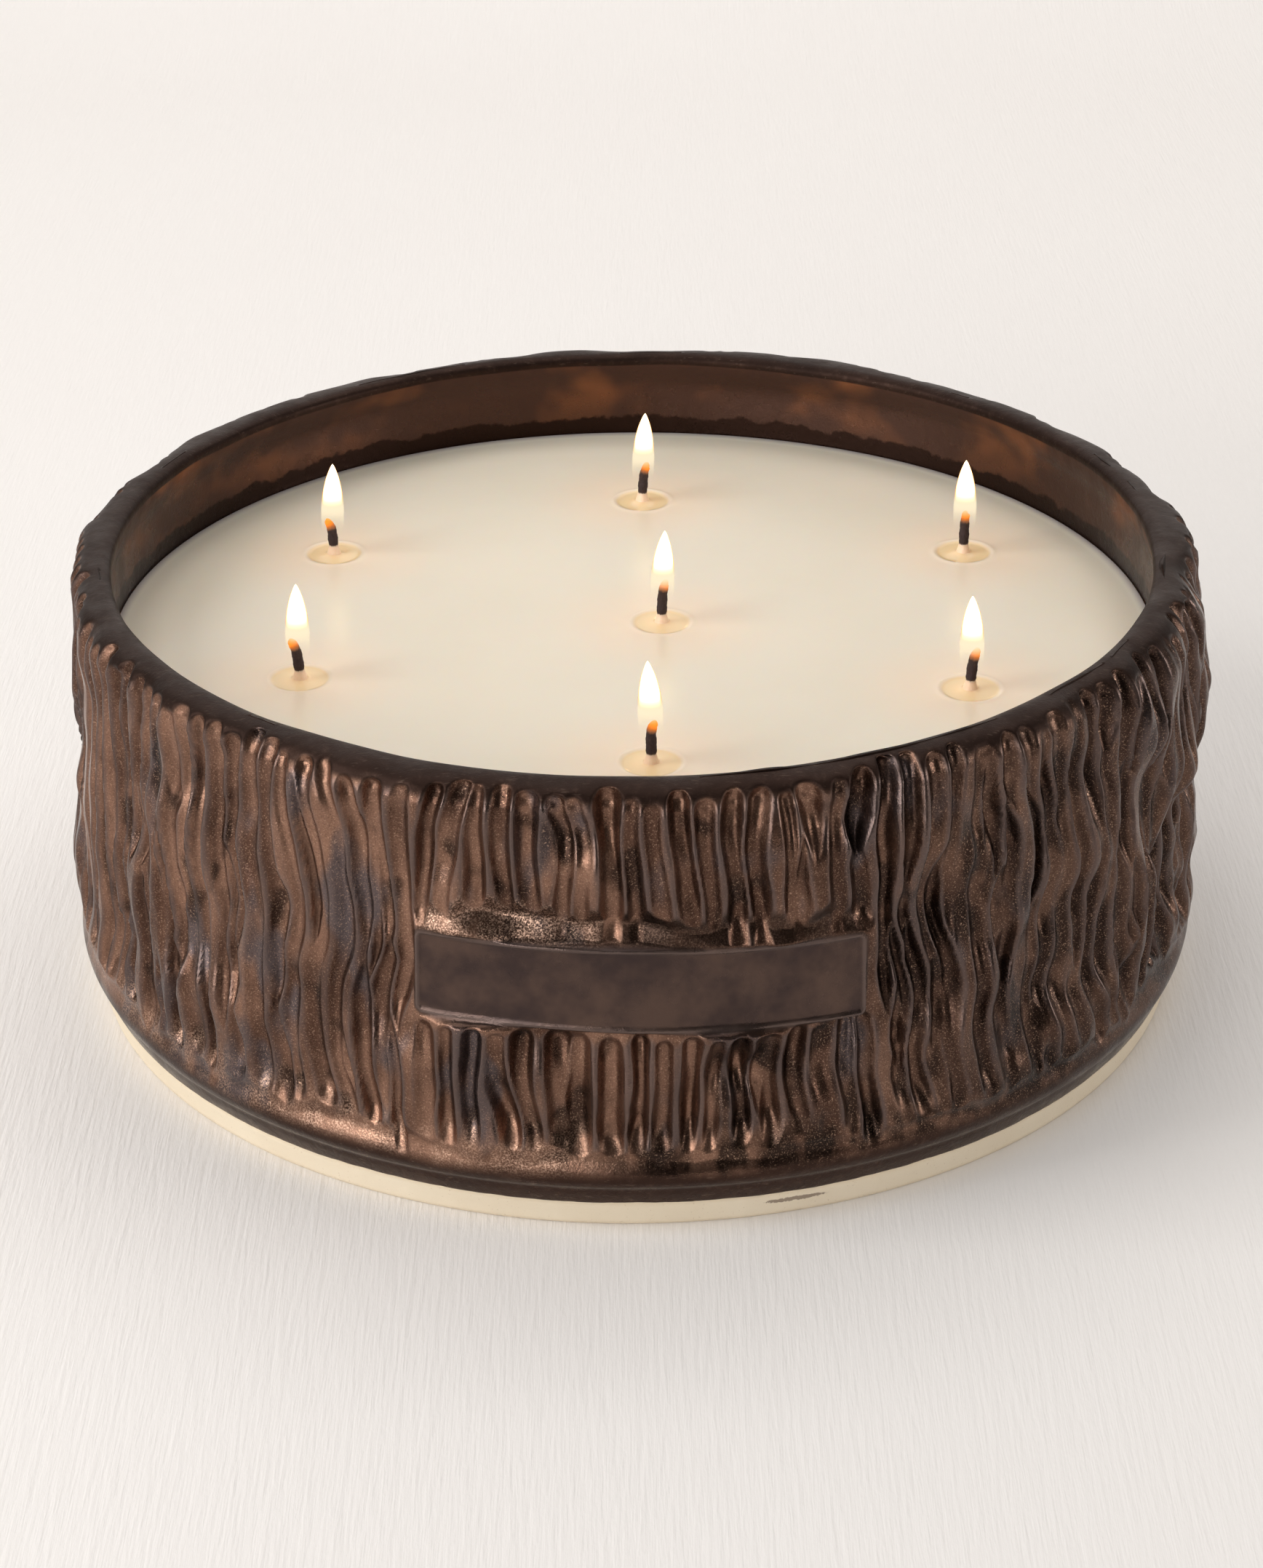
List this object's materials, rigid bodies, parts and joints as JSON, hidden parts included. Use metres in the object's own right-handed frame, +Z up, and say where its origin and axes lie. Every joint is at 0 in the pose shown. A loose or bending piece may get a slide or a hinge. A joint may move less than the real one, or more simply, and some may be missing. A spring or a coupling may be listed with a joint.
{
  "type": "bowl candle",
  "caption": "Wide, low glazed stoneware bowl with a bark relief and a blank front plate, filled with cream wax and burning wicks.",
  "frame": {"origin": "centre of the base, on the surface that the candle stands on", "axes": "+Z up, -Y towards the blank plate at the front, +X to the right of a person who faces the plate"},
  "size_m": [0.3338, 0.3338, 0.133],
  "materials": {
    "bronze_glaze": "dark bronze glaze with a satin metallic sheen, copper glints in the grooves and grey-violet crests",
    "bare_clay": "fired cream clay, unglazed and matte",
    "wax": "cream candle wax, smooth and slightly translucent, with a soft gloss",
    "wick": "braided cotton, soaked with wax at its foot and charred above it",
    "tinplate": "stamped tinplate, bright",
    "foam": "white closed-cell foam, matte",
    "flame": "glowing gas, white-hot in the middle and orange at the edge"
  },
  "bodies": {
    "root": {"bowl": "bronze_glaze", "bare_clay_base": "bare_clay", "wax_fill": "wax", "foam_pad_centre": "foam", "foam_pad_front": "foam", "foam_pad_right_front": "foam", "foam_pad_right_rear": "foam", "foam_pad_rear": "foam", "foam_pad_left_rear": "foam", "foam_pad_left_front": "foam", "wick_sustainer_centre": "tinplate", "wick_sustainer_front": "tinplate", "wick_sustainer_right_front": "tinplate", "wick_sustainer_right_rear": "tinplate", "wick_sustainer_rear": "tinplate", "wick_sustainer_left_rear": "tinplate", "wick_sustainer_left_front": "tinplate", "wick_centre": "wick", "wick_front": "wick", "wick_right_front": "wick", "wick_right_rear": "wick", "wick_rear": "wick", "wick_left_rear": "wick", "wick_left_front": "wick", "flame_centre": "flame", "flame_front": "flame", "flame_right_front": "flame", "flame_right_rear": "flame", "flame_rear": "flame", "flame_left_rear": "flame", "flame_left_front": "flame"}
  },
  "joints": []
}
